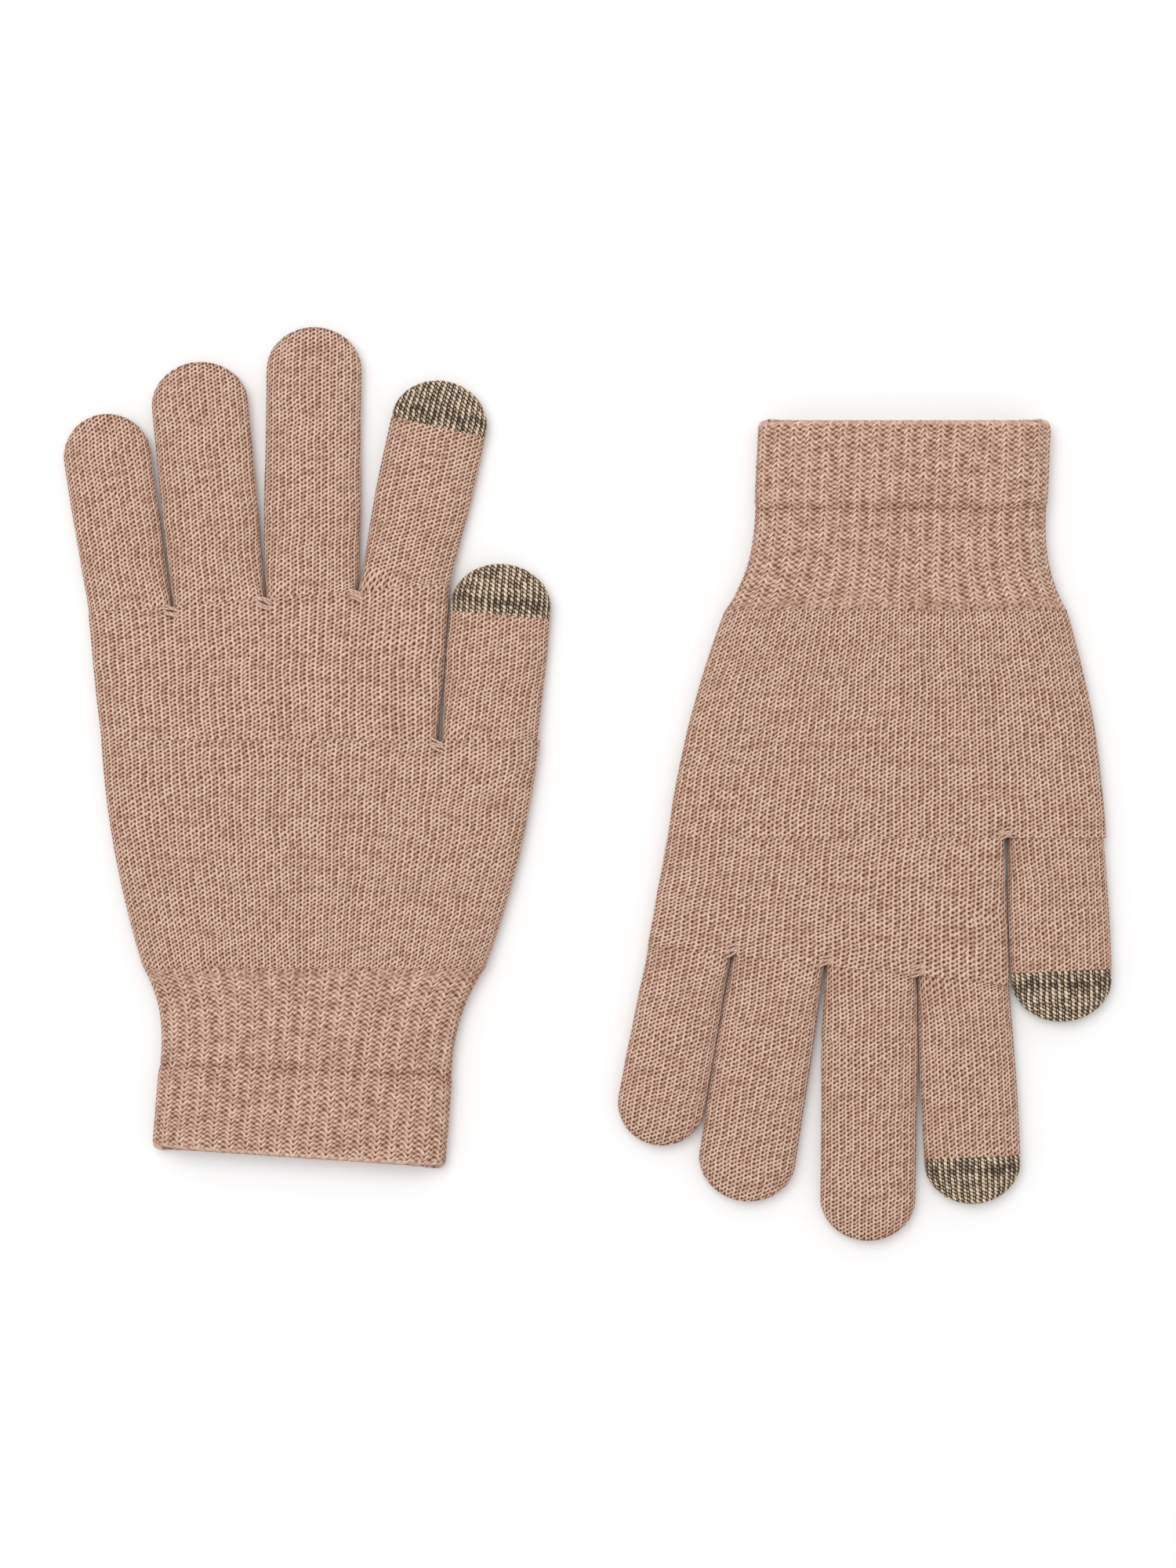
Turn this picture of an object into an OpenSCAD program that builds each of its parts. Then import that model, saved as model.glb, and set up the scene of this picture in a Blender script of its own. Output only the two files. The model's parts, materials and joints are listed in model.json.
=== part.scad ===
// A pair of knitted touchscreen gloves, lying flat with both palms up.
// The right-hand glove points its fingers along +Y and the left-hand glove along -Y.
// Each glove is a set of flattened knitted tubes.  The origin is at the middle of the pair,
// on the surface that the gloves lie on.

/* [Knit] */
// Thickness of the plain knitted wall
wall = 1.3; // [1:0.1:1.5]
// Thickness of the ribbed wall of the cuff and its hem
rib_wall = 1.6; // [1.3:0.1:1.8]
// Gap between two tubes that bend apart
bend_gap = 0.3; // [0.3:0.05:0.6]
// Gap between the sides of two neighbouring fingers
side_gap = 0.4; // [0.3:0.05:1]

/* [Thickness as laid] */
// Height of a finger lying flat
finger_t = 7.6; // [7.4:0.1:10]
// Height of the hand lying flat
hand_t = 8.6; // [8:0.1:11]
// Height of the cuff lying flat
cuff_t = 9.6; // [9:0.1:12]

/* [Fingers] */
// Lengths of the little, ring, middle and index finger and of the thumb, from crotch to tip
finger_len = [55.8, 68.5, 76, 61.4, 51]; // [40:0.1:95]
// Flat widths of the little, ring, middle and index finger and of the thumb
finger_w = [24.6, 27.2, 26.8, 27.2, 28.3]; // [20:0.1:35]
// Share of its full width that a finger has where it joins the hand
base_share = 0.965; // [0.9:0.005:0.98]
// Length over which a finger widens to its full width, as a share of the index finger's width
widen_share = 1.25; // [1.1:0.05:1.6]
// Length of the round end of a finger
tip_round = 12; // [10:0.5:14]
// Place of a finger's middle bend, as a share of its length
bend_share = 0.44; // [0.4:0.01:0.5]
// Length of the conductive end of the index finger
index_touch_len = 13.5; // [13:0.5:20]
// Length of the conductive end of the thumb
thumb_touch_len = 14.5; // [13:0.5:20]

/* [Hand] */
// Width of the four-finger tube where the thumb leaves it
palm_w = 95; // [85:0.5:105]
// Length of the four-finger tube, from the thumb's crotch to the fingers' crotches
palm_len = 38; // [30:0.5:50]
// Width of the five-finger tube where the rib starts
heel_w = 96.5; // [88:0.5:110]
// Length of the five-finger tube, from the rib to the thumb's crotch
heel_len = 64; // [50:0.5:80]

/* [Cuff] */
// Width of the cuff
cuff_w = 82; // [70:0.5:90]
// Length of the single rib
rib_len = 28.5; // [20:0.5:45]
// Length of the turned double hem
hem_len = 24.5; // [16:0.5:35]
// Number of elastic yarns laid in the cuff
elastic_count = 6; // [2:1:8]
// Distance of the first and the last elastic yarn from the ends of the cuff
elastic_margin = 4; // [3:0.5:8]
// Thickness of an elastic yarn
elastic_t = 0.6; // [0.4:0.05:0.7]

/* [Crotch stitches] */
// Length of a reinforcement stitch
stitch_len = 5; // [3:0.5:8]
// Thickness of its thread
stitch_d = 0.7; // [0.5:0.05:1]

/* [Right-hand glove as laid] */
// Place of its thumb crotch on the hand's centre line
right_at = [-89.9, 12.3]; // [-120:0.1:120]
// Lean of each finger towards the little finger's side, in degrees
right_lean = [8.6, 5.5, -0.7, -12.2, -5]; // [-14:0.1:10]
// How much longer each finger lies than its knitted length
right_pull = [0, -0.3, -0.4, -1.9, -1]; // [-3:0.1:3]
// How much longer the four-finger tube lies than its knitted length
right_palm_pull = 2; // [-3:0.1:3]
// Rise of the line of finger crotches towards the index finger, in degrees
right_crotch_slant = 4.7; // [2:0.1:8]
// Sideways place of the rib's start, against the hand's own middle
right_wrist_shift = -1.6; // [-6:0.1:6]
// Sideways place of the cuff's edge, against the hand's own middle
right_cuff_shift = -6; // [-10:0.1:10]
// Slope of the cuff's edge, in degrees
right_cuff_tilt = -3.9; // [-6:0.1:6]

/* [Left-hand glove as laid] */
// Place of its thumb crotch on the hand's centre line
left_at = [69.9, -15.2]; // [-120:0.1:120]
// Lean of each finger towards the little finger's side, in degrees
left_lean = [10.5, 8.9, 0.7, -3, -2.5]; // [-14:0.1:10.5]
// How much longer each finger lies than its knitted length
left_pull = [0, 0.3, 0.4, 1.9, 1]; // [-3:0.1:3]
// How much longer the four-finger tube lies than its knitted length
left_palm_pull = -2; // [-3:0.1:3]
// Rise of the line of finger crotches towards the index finger, in degrees
left_crotch_slant = 6.2; // [2:0.1:8]
// Sideways place of the rib's start, against the hand's own middle
left_wrist_shift = 2.6; // [-6:0.1:6]
// Sideways place of the cuff's edge, against the hand's own middle
left_cuff_shift = 5; // [-10:0.1:10]
// Slope of the cuff's edge, in degrees
left_cuff_tilt = 0; // [-6:0.1:6]

/* [Hidden] */

knit_colour = "#BB9A88";
rib_colour = "#B79684";
touch_colour = "#9A8472";
elastic_colour = "#D8CFC4";

LITTLE = 0;
RING = 1;
MIDDLE = 2;
INDEX = 3;
THUMB = 4;

// How far in the rounding of a tube's side edges reaches, on a finger and on the hand
finger_edge = 9;
hand_edge = 12;
// The most of a tube's half width that the rounding takes
max_edge_share = 0.95;
// Height of a tube's widest line, as a share of its thickness
mid_share = 0.45;
// Steps round each side edge, and along each round finger end
edge_steps = 8;
round_steps = 4;
last_round_angle = 84;
// Places of the cross-sections along a finger tube, the palm, the heel, the rib and the hem
finger_shares = [0, 0.35, 0.7, 1];
palm_shares = [0, 0.3, 0.65, 1];
heel_shares = [1, 0.85, 0.68, 0.5, 0.34, 0.17, 0];
rib_shares = [1, 0.75, 0.5, 0.25, 0];
hem_shares = [1, 0.5, 0];
// A finger end's straight stretch longer than this gets a cross-section halfway
short_straight = 6;
// Share of the heel's narrowing that comes late, and share of its length that rises to the cuff
late_share = 0.6;
rise_share = 1 / 3;
// How sharply the rib pulls in from the heel
rib_pull_power = 2.5;
// A gap that parts two soft pieces that lie on each other in one glove
lay_gap = 0.15;
// Distance between the two rows of a crotch's stitches, in thread thicknesses
stitch_row_pitch = 1.6;
// Share of a thumb stitch's length that lies on the palm's side of the crotch's middle
stitch_shift_share = 0.25;

// Length over which a finger widens to its full width
widen_len = widen_share * finger_w[INDEX];

// One glove as laid: place, finger leans, finger pulls, palm pull and the rest of its lay.
RIGHT = [right_at, right_lean, right_pull, right_palm_pull, right_crotch_slant,
         right_wrist_shift, right_cuff_shift, right_cuff_tilt, false];
LEFT = [left_at, left_lean, left_pull, left_palm_pull, left_crotch_slant,
        left_wrist_shift, left_cuff_shift, left_cuff_tilt, true];
function lean(glove, finger) = glove[1][finger];
function laid_len(glove, finger) = finger_len[finger] + glove[2][finger];
function palm_top(glove) = palm_len + glove[3];
function crotch_slant(glove) = glove[4];
function wrist_shift(glove) = glove[5];
function cuff_shift(glove) = glove[6];
function cuff_tilt(glove) = glove[7];

// Widths and middles of the hand, across its own frame: x to the thumb's side, y to the fingers.
base_w = finger_w * base_share;
knuckle_w = base_w[0] + base_w[1] + base_w[2] + base_w[3];
hand_w = palm_w + side_gap + finger_w[THUMB];
hand_middle = (hand_w - palm_w) / 2;
function lerp(a, b, u) = a + (b - a) * u;
function smooth(u) = let (v = min(1, max(0, u))) v * v * (3 - 2 * v);
// The heel narrows slowly under the thumb and faster towards the rib.
function heel_width(u) = lerp(hand_w, heel_w, (1 - late_share) * u + late_share * u * u);
// The rib pulls in quickly from the heel and then runs straight.
function rib_width(u) = lerp(cuff_w, heel_w, pow(max(0, 1 - u), rib_pull_power));
function heel_middle(glove, u) = hand_middle + u * wrist_shift(glove);
function cuff_middle(glove, y) =
    hand_middle + lerp(wrist_shift(glove), cuff_shift(glove), y / (rib_len + hem_len));

// A station is one flat cross-section of a tube:
// [middle x, y, half width, edge reach, low z, high z, widest z, slope of the section].
function station(x, y, half_w, t, reach, slope = 0, inset = 0, fill = 1) =
    let (h = half_w - inset, mid = mid_share * t)
    [x, y, h, min(reach - inset, max_edge_share * h), mid - (mid - inset) * fill,
     mid + (t - inset - mid) * fill, mid, tan(slope)];

// The points round one station, from the bottom up the +x edge and down the -x edge.
function edge_point(s, side, a) =
    let (dx = side * (s[2] - s[3] + s[3] * cos(a)),
         z = s[6] + sin(a) * (a >= 0 ? s[5] - s[6] : s[6] - s[4]))
    [s[0] + dx, s[1] + dx * s[7], z];
function ring(s) = [
    for (i = [0 : edge_steps]) edge_point(s, 1, -90 + i * 180 / edge_steps),
    for (i = [0 : edge_steps]) edge_point(s, -1, 90 - i * 180 / edge_steps)
];

// A tube with a wall, from its outer and inner stations.  A closed tube ends in a cap.
module tube(outer, inner, closed = false) {
    n = 2 * (edge_steps + 1);
    count = len(outer);
    half = n * count;
    last = n * (count - 1);
    points = [for (s = outer) each ring(s), for (s = inner) each ring(s)];
    function side(k, i, base) = base + k * n + i % n;
    faces = [
        for (k = [0 : count - 2], i = [0 : n - 1]) each [
            [side(k, i, 0), side(k, i + 1, 0), side(k + 1, i + 1, 0)],
            [side(k, i, 0), side(k + 1, i + 1, 0), side(k + 1, i, 0)],
            [side(k, i, half), side(k + 1, i + 1, half), side(k, i + 1, half)],
            [side(k, i, half), side(k + 1, i, half), side(k + 1, i + 1, half)]
        ],
        for (i = [0 : n - 1]) each [
            [i, half + i, half + (i + 1) % n],
            [i, half + (i + 1) % n, (i + 1) % n]
        ],
        if (closed) [for (i = [0 : n - 1]) last + i],
        if (closed) [for (i = [n - 1 : -1 : 0]) half + last + i],
        if (!closed) for (i = [0 : n - 1]) each [
            [side(0, i, last), side(0, i + 1, last), half + last + (i + 1) % n],
            [side(0, i, last), half + last + (i + 1) % n, half + last + i]
        ]
    ];
    polyhedron(points, faces, convexity = 6);
}

// Puts a piece of a glove where that glove lies.
module laid(glove) {
    translate([glove[0][0], glove[0][1], 0])
        mirror([0, glove[8] ? 1 : 0, 0])
            children();
}

// The four-finger tube's thumb side runs along the thumb, so its middle follows from its width.
function palm_width(u) = lerp(palm_w, knuckle_w, u);
function palm_middle(glove, u) =
    (palm_w - palm_width(u)) / 2 - u * palm_top(glove) * tan(lean(glove, THUMB));
// Middle of each finger's base along the line of crotches.
function base_sum(finger) = finger < LITTLE ? 0 : base_w[finger] + base_sum(finger - 1);
function base_x(glove, finger) =
    finger == THUMB ? palm_w / 2 + side_gap + finger_w[THUMB] / 2
    : palm_middle(glove, 1) - knuckle_w / 2 + base_sum(finger - 1) + base_w[finger] / 2;
function crotch_y(glove, x) =
    palm_top(glove) + (x - palm_middle(glove, 1)) * tan(crotch_slant(glove));
function line_slant(glove, finger) = finger == THUMB ? 0 : crotch_slant(glove);
function line_y(glove, finger) =
    finger == THUMB ? 0 : crotch_y(glove, base_x(glove, finger));
function bend_at(glove, finger) = bend_share * laid_len(glove, finger);

// Half width of a finger at a distance from its crotch, and of its start along the crotch line.
function start_half_w(glove, finger) =
    let (slant = line_slant(glove, finger))
    (base_w[finger] - side_gap) / 2 * cos(slant - lean(glove, finger)) / cos(slant);
function finger_half_w(glove, finger, y) =
    lerp(start_half_w(glove, finger), finger_w[finger] / 2, smooth(y / widen_len));
function finger_station(glove, finger, y, slope, inset) =
    station(0, y, finger_half_w(glove, finger, max(0, y)), finger_t, finger_edge, slope, inset);
// The round end of a finger: its width and height shrink along a quarter of an ellipse.
function round_stations(glove, finger, inset) =
    let (l = laid_len(glove, finger), r = tip_round - inset)
    [for (i = [1 : round_steps])
        let (a = last_round_angle * i / round_steps)
        station(0, l - tip_round + r * sin(a), inset + (finger_w[finger] / 2 - inset) * cos(a),
                finger_t, finger_edge, 0, inset, sqrt(cos(a)))];
module finger_frame(glove, finger) {
    laid(glove)
        translate([base_x(glove, finger), line_y(glove, finger), 0])
            rotate([0, 0, lean(glove, finger)])
                children();
}
// A length of a finger's tube, open at both ends.
module finger_tube(glove, finger, from, to, start_slope = 0) {
    stations = [for (inset = [0, wall]) [for (u = finger_shares)
        finger_station(glove, finger, lerp(from, to, u), u == 0 ? start_slope : 0, inset)]];
    finger_frame(glove, finger)
        tube(stations[0], stations[1]);
}
// The last length of a finger's tube, with its round closed end.
module finger_cap(glove, finger, from) {
    straight_end = laid_len(glove, finger) - tip_round;
    ys = from < straight_end - short_straight ? [from, (from + straight_end) / 2, straight_end]
        : [from, straight_end];
    stations = [for (inset = [0, wall]) concat(
        [for (y = ys) finger_station(glove, finger, y, 0, inset)],
        round_stations(glove, finger, inset))];
    finger_frame(glove, finger)
        tube(stations[0], stations[1], closed = true);
}

// From the crotch to the middle bend.
module finger_base(glove, finger) {
    start = (finger == THUMB ? 1 : 0.5) * bend_gap;
    color(knit_colour)
        finger_tube(glove, finger, start, bend_at(glove, finger) - bend_gap / 2,
                    line_slant(glove, finger) - lean(glove, finger));
}
// From the middle bend to the closed end, or to the conductive end where there is one.
function touch_len(finger) =
    finger == INDEX ? index_touch_len : finger == THUMB ? thumb_touch_len : 0;
module finger_end(glove, finger) {
    from = bend_at(glove, finger) + bend_gap / 2;
    color(knit_colour)
        if (touch_len(finger) > 0)
            finger_tube(glove, finger, from, laid_len(glove, finger) - touch_len(finger));
        else
            finger_cap(glove, finger, from);
}
// The end knitted in conductive yarn, which works a touchscreen.
module touch_tip(glove, finger) {
    color(touch_colour)
        finger_cap(glove, finger, laid_len(glove, finger) - touch_len(finger));
}

// Four-finger tube, from the thumb's crotch to the line of finger crotches.
module hand_upper(glove) {
    end_y = palm_top(glove) - bend_gap / 2;
    stations = [for (inset = [0, wall]) [for (u = palm_shares)
        station(palm_middle(glove, u), u * end_y, palm_width(u) / 2,
                lerp(hand_t, finger_t, smooth(u)), lerp(hand_edge, finger_edge, u),
                u * crotch_slant(glove), inset)]];
    color(knit_colour)
        laid(glove)
            tube(stations[0], stations[1]);
}
// Five-finger tube, from the rib to the thumb's crotch.
module hand_lower(glove) {
    stations = [for (inset = [0, wall]) [for (u = heel_shares)
        station(heel_middle(glove, u), -u * heel_len, heel_width(u) / 2,
                lerp(hand_t, cuff_t, smooth((u - 1 + rise_share) / rise_share)), hand_edge, 0, inset)]];
    color(knit_colour)
        laid(glove)
            tube(stations[0], stations[1]);
}
// A station of the cuff, at a distance below the start of the rib.
function cuff_station(glove, y, inset) =
    station(cuff_middle(glove, y), -heel_len - y, rib_width(y / rib_len) / 2, cuff_t, hand_edge,
            cuff_tilt(glove) * y / (rib_len + hem_len), inset);
module cuff_length(glove, ys) {
    stations = [for (inset = [0, rib_wall]) [for (y = ys) cuff_station(glove, y, inset)]];
    laid(glove)
        tube(stations[0], stations[1]);
}
// Single rib between the hand and the hem.
module cuff_rib(glove) {
    color(rib_colour)
        cuff_length(glove, [for (u = rib_shares) u * rib_len]);
}
// Turned double hem round the mouth of the glove.
module cuff_hem(glove) {
    color(rib_colour)
        cuff_length(glove, [for (u = hem_shares) rib_len + u * hem_len]);
}
// Covered elastic yarns, laid in loops against the inside of the cuff.
module cuff_elastic(glove) {
    pitch = (rib_len + hem_len - 2 * elastic_margin) / (elastic_count - 1);
    color(elastic_colour)
        for (i = [0 : elastic_count - 1]) {
            y = elastic_margin + i * pitch;
            stations = [for (inset = [rib_wall + lay_gap, rib_wall + lay_gap + elastic_t])
                [cuff_station(glove, y + elastic_t, inset), cuff_station(glove, y, inset)]];
            laid(glove)
                tube(stations[0], stations[1]);
        }
}
// Two short stitches on the hand at each crotch, which keep it from tearing.
module stitch_pair(x, y, z, slant) {
    for (row = [1, 2])
        translate([x, y - row * stitch_row_pitch * stitch_d, z + stitch_d / 2])
            rotate([0, 90, slant])
                cylinder(d = stitch_d, h = stitch_len, center = true, $fn = 16);
}
module crotch_stitches(glove) {
    slant = crotch_slant(glove);
    color(knit_colour)
        laid(glove) {
            for (finger = [LITTLE : INDEX - 1]) {
                x = base_x(glove, finger) + base_w[finger] / 2;
                stitch_pair(x, crotch_y(glove, x), finger_t + lay_gap, slant);
            }
            stitch_pair(palm_w / 2 - stitch_shift_share * stitch_len, 0, hand_t + lay_gap, 0);
        }
}

hand_lower(RIGHT);  // right_hand_lower
hand_upper(RIGHT);  // right_hand_upper
cuff_rib(RIGHT);  // right_cuff_rib
cuff_hem(RIGHT);  // right_cuff_hem
cuff_elastic(RIGHT);  // right_cuff_elastic
crotch_stitches(RIGHT);  // right_crotch_stitches
finger_base(RIGHT, LITTLE);  // right_little_base
finger_end(RIGHT, LITTLE);  // right_little_end
finger_base(RIGHT, RING);  // right_ring_base
finger_end(RIGHT, RING);  // right_ring_end
finger_base(RIGHT, MIDDLE);  // right_middle_base
finger_end(RIGHT, MIDDLE);  // right_middle_end
finger_base(RIGHT, INDEX);  // right_index_base
finger_end(RIGHT, INDEX);  // right_index_end
touch_tip(RIGHT, INDEX);  // right_index_touch_tip
finger_base(RIGHT, THUMB);  // right_thumb_base
finger_end(RIGHT, THUMB);  // right_thumb_end
touch_tip(RIGHT, THUMB);  // right_thumb_touch_tip
hand_lower(LEFT);  // left_hand_lower
hand_upper(LEFT);  // left_hand_upper
cuff_rib(LEFT);  // left_cuff_rib
cuff_hem(LEFT);  // left_cuff_hem
cuff_elastic(LEFT);  // left_cuff_elastic
crotch_stitches(LEFT);  // left_crotch_stitches
finger_base(LEFT, LITTLE);  // left_little_base
finger_end(LEFT, LITTLE);  // left_little_end
finger_base(LEFT, RING);  // left_ring_base
finger_end(LEFT, RING);  // left_ring_end
finger_base(LEFT, MIDDLE);  // left_middle_base
finger_end(LEFT, MIDDLE);  // left_middle_end
finger_base(LEFT, INDEX);  // left_index_base
finger_end(LEFT, INDEX);  // left_index_end
touch_tip(LEFT, INDEX);  // left_index_touch_tip
finger_base(LEFT, THUMB);  // left_thumb_base
finger_end(LEFT, THUMB);  // left_thumb_end
touch_tip(LEFT, THUMB);  // left_thumb_touch_tip
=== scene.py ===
import json
import math

import bpy
import numpy as np
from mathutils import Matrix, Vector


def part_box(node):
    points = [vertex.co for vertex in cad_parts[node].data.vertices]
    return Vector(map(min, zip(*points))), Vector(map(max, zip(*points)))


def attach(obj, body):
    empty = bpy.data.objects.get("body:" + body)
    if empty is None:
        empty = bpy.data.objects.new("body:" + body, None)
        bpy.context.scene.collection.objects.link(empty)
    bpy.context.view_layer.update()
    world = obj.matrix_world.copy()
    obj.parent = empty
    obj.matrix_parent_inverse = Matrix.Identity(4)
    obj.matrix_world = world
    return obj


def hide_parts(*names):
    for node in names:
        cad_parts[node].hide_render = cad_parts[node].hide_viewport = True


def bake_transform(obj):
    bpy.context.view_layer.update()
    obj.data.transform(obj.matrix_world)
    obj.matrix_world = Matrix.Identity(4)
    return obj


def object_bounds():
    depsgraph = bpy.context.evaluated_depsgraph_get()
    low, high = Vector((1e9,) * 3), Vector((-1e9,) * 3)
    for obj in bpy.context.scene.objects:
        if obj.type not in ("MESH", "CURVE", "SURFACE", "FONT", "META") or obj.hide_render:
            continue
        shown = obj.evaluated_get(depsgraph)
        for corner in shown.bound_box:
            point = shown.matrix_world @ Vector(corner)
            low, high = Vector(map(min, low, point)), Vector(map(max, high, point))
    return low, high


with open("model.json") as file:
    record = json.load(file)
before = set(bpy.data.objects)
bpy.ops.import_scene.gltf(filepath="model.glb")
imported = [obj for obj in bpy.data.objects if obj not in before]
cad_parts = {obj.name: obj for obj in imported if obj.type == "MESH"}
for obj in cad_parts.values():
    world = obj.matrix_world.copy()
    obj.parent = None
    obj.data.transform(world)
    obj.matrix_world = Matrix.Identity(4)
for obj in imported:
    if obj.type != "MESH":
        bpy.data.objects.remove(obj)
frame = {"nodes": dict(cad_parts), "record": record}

bl_info = {
    "name": "Knitted touchscreen gloves",
    "version": (1, 0, 0),
    "blender": (4, 5, 0),
    "location": "3D View > Sidebar > Gloves",
    "description": "Knits the visible fabric of a pair of gloves round their packed frame",
    "category": "Object",
}

CAD_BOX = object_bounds()
JOINTS = {joint["name"]: joint for joint in frame["record"]["behaviour"]["joints"]}
GLOVES = {"right": 1, "left": -1}
FOUR_FINGERS = ("little", "ring", "middle", "index")
FINGERS = FOUR_FINGERS + ("thumb",)
TOUCH_FINGERS = ("index", "thumb")
MM = 0.001


# ---------------------------------------------------------------- sizes, yarns and the stage

def length_setting(name, description, default):
    """One length that a settings group holds."""
    return bpy.props.FloatProperty(
        name=name, description=description, default=default, unit="LENGTH")


def lengths_setting(name, description, default):
    """Lengths of like parts that a settings group holds."""
    return bpy.props.FloatVectorProperty(
        name=name, description=description, default=default, size=len(default), unit="LENGTH")


def share_setting(name, description, default):
    """A share of 1 that a settings group holds."""
    return bpy.props.FloatProperty(
        name=name, description=description, default=default, subtype="FACTOR")


def colour_setting(name, description, default):
    """One colour that a settings group holds."""
    return bpy.props.FloatVectorProperty(
        name=name, description=description, default=default, size=3, min=0, max=1,
        subtype="COLOR")


class GloveSizes(bpy.types.PropertyGroup):
    """Sizes of the knitted tubes that the frame doesn't give directly."""
    finger_widths: lengths_setting(
        "Finger widths", "Flat widths of the little to index finger and the thumb",
        (0.0246, 0.0272, 0.0268, 0.0272, 0.0283))
    base_share: share_setting(
        "Base share", "Share of its width that a finger has at its crotch", 0.965)
    widen_length: length_setting(
        "Widening length", "Length over which a finger reaches its full width", 0.034)
    fullness: lengths_setting(
        "Fullness", "Extra half width of each finger where it rests on the next",
        (-0.0001, 0.0, 0.0004, 0.0, 0.0002))
    bend_share: share_setting(
        "Bend share", "Place of a finger's middle bend along its length", 0.44)
    tip_round: length_setting("Tip round", "Length of the round end of a finger", 0.012)
    touch_lengths: lengths_setting(
        "Touch tips", "Lengths of the conductive ends of index finger and thumb", (0.0135, 0.0145))
    side_gap: length_setting(
        "Side gap", "Gap between the sides of two neighbouring fingers", 0.0004)
    heights: lengths_setting(
        "Heights as laid", "Height of a finger, the hand and the cuff lying flat",
        (0.0076, 0.0086, 0.0096))
    edges: lengths_setting(
        "Edge reach", "Rounding of the side edges at a crotch, a finger, the hand",
        (0.0032, 0.009, 0.012))
    edge_settle: length_setting(
        "Edge settling", "Length over which an edge opens out from its crotch", 0.02)
    palm_width: length_setting(
        "Palm width", "Width of the four-finger tube where the thumb leaves it", 0.095)
    cuff_width: length_setting("Cuff width", "Flat width of the cuff", 0.082)
    rib_length: length_setting("Rib length", "Length of the single rib", 0.0285)
    hem_length: length_setting("Hem length", "Length of the turned hem", 0.0245)
    cuff_tilts: bpy.props.FloatVectorProperty(
        name="Cuff tilts", description="Slope of the cuff's edge on the right and left glove",
        size=2, default=(math.radians(-3.9), 0.0), unit="ROTATION")
    wall: length_setting("Wall", "Thickness of the plain knitted wall", 0.0013)
    rib_wall: length_setting("Rib wall", "Thickness of the ribbed wall", 0.0016)
    under_lap: length_setting(
        "Under lap", "How far the back of the cuff shows past its front", 0.0012)


class KnitSettings(bpy.types.PropertyGroup):
    """Gauge and relief of the fabrics."""
    finger_wale: length_setting(
        "Finger wale", "Width of one column of stitches on a finger", 0.00196)
    hand_wale: length_setting(
        "Hand wale", "Width of one column of stitches at the thumb's crotch", 0.00216)
    course: length_setting("Course", "Height of one row of plain stitches", 0.00124)
    rib_unit: length_setting("Rib unit", "Width of one rib and its furrow on the cuff", 0.0043)
    rib_course: length_setting("Rib course", "Height of one row of rib stitches", 0.0014)
    touch_wale: length_setting("Touch wale", "Width of one column of conductive stitches", 0.00172)
    touch_course: length_setting(
        "Touch course", "Height of one row of conductive stitches", 0.00112)
    relief: length_setting("Relief", "Depth from a stitch's crown to the pits beside it", 0.00042)
    rib_relief: length_setting("Rib relief", "Depth of the furrow between two ribs", 0.00036)
    seed: bpy.props.IntProperty(
        name="Seed", description="Start of the yarn's unevenness", default=7)


class YarnColours(bpy.types.PropertyGroup):
    """Colours of the yarns, as reflected light."""
    # Light fibres are the yarn's own; the finish also uses them for the painted highlight on the
    # stitches' crowns.
    light: colour_setting("Light fibres", "Lightest fibres of the heather yarn", (0.94, 0.735, 0.62))
    body: colour_setting("Body", "Main colour of the heather yarn", (0.52, 0.322, 0.237))
    dark: colour_setting("Dark fibres", "Darkest fibres of the heather yarn", (0.32, 0.165, 0.10))
    # Pits: painted shade deep in the gaps between the stitches.
    pit_shade: colour_setting("Pits", "Colour deep between the stitches", (0.10, 0.030, 0.010))
    touch_light: colour_setting("Touch light", "Light conductive yarn", (0.98, 0.81, 0.62))
    # Touch pits: the conductive yarn's darkest fibres, and painted shade deep in the gaps between its
    # stitches.
    touch_body: colour_setting("Touch body", "Main conductive yarn", (0.73, 0.545, 0.385))
    touch_dark_and_pit_shade: colour_setting("Touch pits", "Colour between conductive stitches", (0.03, 0.02, 0.013))
    elastic: colour_setting("Elastic", "Covered elastic yarn", (0.62, 0.52, 0.45))


class StageSettings(bpy.types.PropertyGroup):
    """Floor, light and camera."""
    floor_colour: colour_setting("Floor", "Colour of the floor", (0.93, 0.93, 0.93))
    frame_height: length_setting("Frame height", "Length of floor that the camera sees", 0.44)
    lens: bpy.props.FloatProperty(
        name="Lens", description="Focal length in millimetres", default=85.0)
    sky: bpy.props.FloatProperty(
        name="Sky", description="Strength of the light from all round", default=0.75)
    softbox: bpy.props.FloatProperty(
        name="Softbox", description="Power of the large light overhead, in watts", default=9.0)


def sizes():
    return bpy.context.scene.glove_sizes


def knit():
    return bpy.context.scene.glove_knit


def yarns():
    return bpy.context.scene.glove_yarns


# ---------------------------------------------------------------- how each glove lies

def lerp(a, b, u):
    return a + (b - a) * u


def smooth(u):
    v = np.clip(u, 0, 1)
    return v * v * (3 - 2 * v)


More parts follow.
